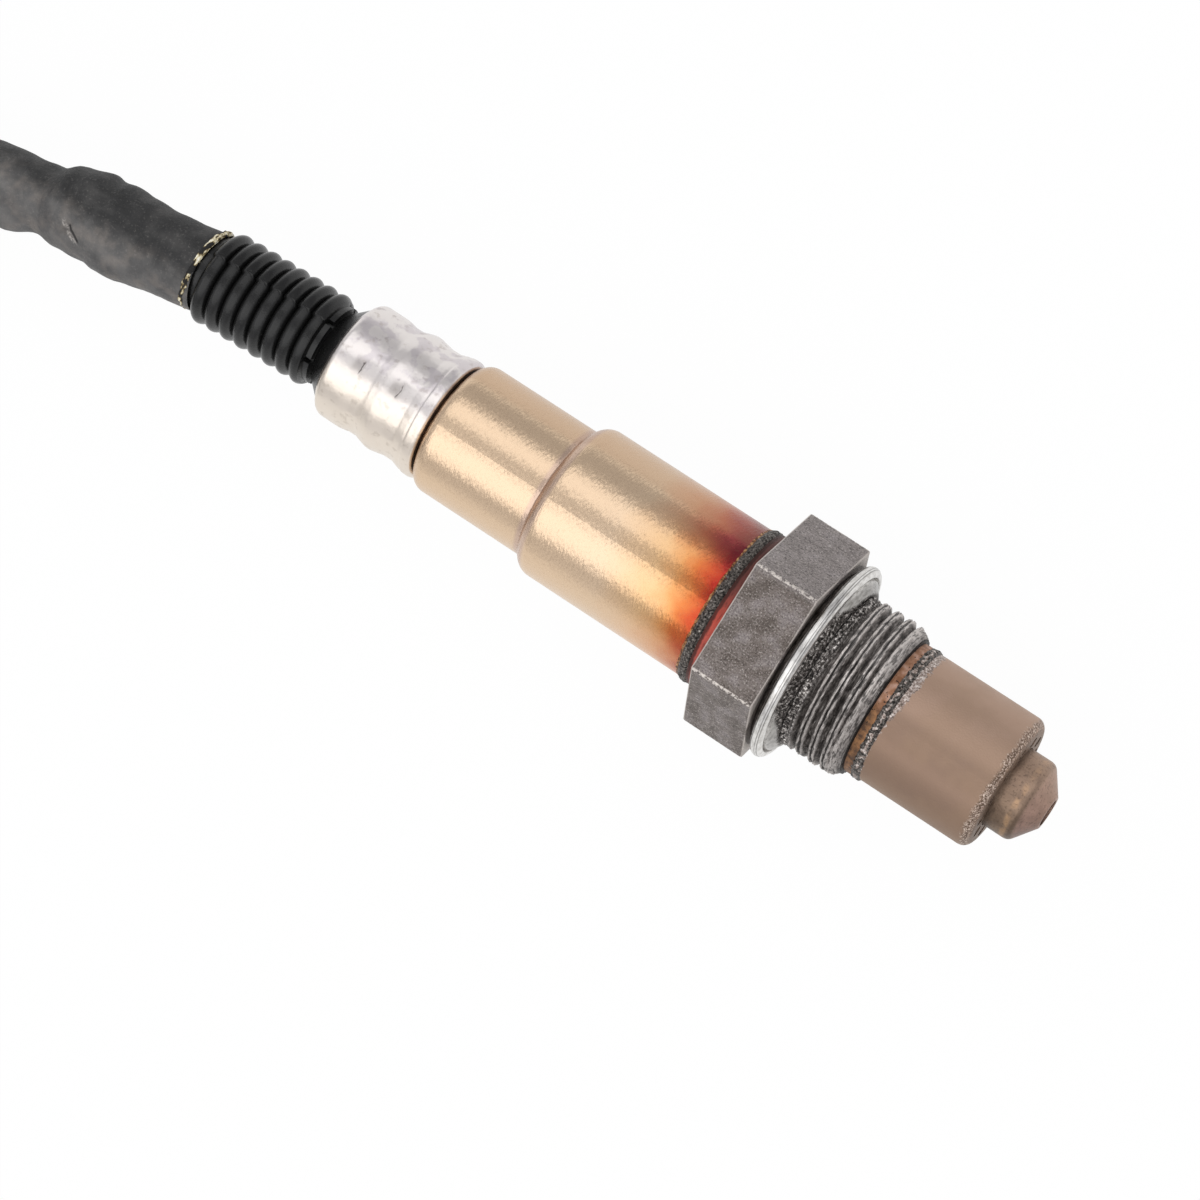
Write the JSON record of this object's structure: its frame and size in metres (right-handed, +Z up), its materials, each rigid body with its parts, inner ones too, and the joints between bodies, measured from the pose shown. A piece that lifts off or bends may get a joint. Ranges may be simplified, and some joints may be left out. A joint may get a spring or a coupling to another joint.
{
  "type": "oxygen sensor",
  "caption": "Exhaust oxygen sensor: vented protection tube, threaded hexagon body with captive ring, stepped sleeve, crimped collar, rubber bellows boot, sleeved lead and plug.",
  "frame": {"origin": "on the surface that the sensor lies on, straight below the middle of the sensor's own length, the lead and plug left out", "axes": "+X along the sensor's axis towards its nose, the way it goes into its boss; +Z up, square to one flat of the hexagon; the lead and plug lie on the -X and -Y side"},
  "size_m": [0.2837, 0.093, 0.0231],
  "materials": {
    "body_steel": "dull machined steel, darkened",
    "ring_steel": "folded sheet steel, polished by contact",
    "tube_steel": "drawn sheet steel, brown heat tint",
    "nozzle_steel": "drawn sheet steel, straw heat tint",
    "sleeve_steel": "satin sheet steel, straw to crimson heat tint",
    "collar_steel": "matte crimped sheet steel",
    "clip_steel": "plain spring steel",
    "contact_metal": "plated spring strip",
    "element_ceramic": "fired zirconia, plain",
    "insulator_ceramic": "fired ceramic, matte",
    "packed_powder": "pressed powder, matte",
    "boot_rubber": "black moulded rubber, soft sheen",
    "grommet_rubber": "dark fluororubber, plain",
    "seal_rubber": "grey silicone rubber, plain",
    "lead_sleeving": "coated glass-fibre sleeving, matte",
    "tie_plastic": "black nylon",
    "plug_plastic": "black moulded plastic",
    "lock_plastic": "natural moulded plastic",
    "terminal_metal": "plated strip",
    "resistor_ceramic": "plain chip",
    "wire_yellow": "extruded insulation",
    "wire_red": "extruded insulation",
    "wire_white": "extruded insulation",
    "wire_grey": "extruded insulation",
    "wire_black": "extruded insulation"
  },
  "bodies": {
    "root": {"hex_body": "body_steel", "sealing_ring": "ring_steel", "outer_protection_tube": "tube_steel", "inner_protection_tube": "nozzle_steel", "sensor_element": "element_ceramic", "lower_insulator": "insulator_ceramic", "powder_seal": "packed_powder", "upper_insulator": "insulator_ceramic", "clamp_ring": "clip_steel", "protective_sleeve": "sleeve_steel", "contact_holder_upper": "insulator_ceramic", "contact_holder_lower": "insulator_ceramic", "holder_clip": "clip_steel", "contact_spring_1": "contact_metal", "contact_spring_2": "contact_metal", "contact_spring_3": "contact_metal", "contact_spring_4": "contact_metal", "contact_spring_5": "contact_metal", "sensor_wire_1": "wire_yellow", "sensor_wire_2": "wire_red", "sensor_wire_3": "wire_white", "sensor_wire_4": "wire_grey", "sensor_wire_5": "wire_black", "wire_grommet": "grommet_rubber", "crimp_collar": "collar_steel", "bellows_boot": "boot_rubber", "lead_sleeve": "lead_sleeving", "lead_hank": "lead_sleeving", "lead_tail": "lead_sleeving", "hank_tie": "tie_plastic", "rear_cap": "plug_plastic", "plug_housing": "plug_plastic", "terminal_lock": "lock_plastic", "wire_seal": "seal_rubber", "face_seal": "seal_rubber", "plug_terminal_1": "terminal_metal", "plug_terminal_2": "terminal_metal", "plug_terminal_3": "terminal_metal", "plug_terminal_4": "terminal_metal", "plug_terminal_5": "terminal_metal", "plug_terminal_6": "terminal_metal", "trim_resistor": "resistor_ceramic", "plug_wire_1": "wire_yellow", "plug_wire_2": "wire_red", "plug_wire_3": "wire_white", "plug_wire_4": "wire_grey", "plug_wire_5": "wire_black"}
  },
  "joints": []
}
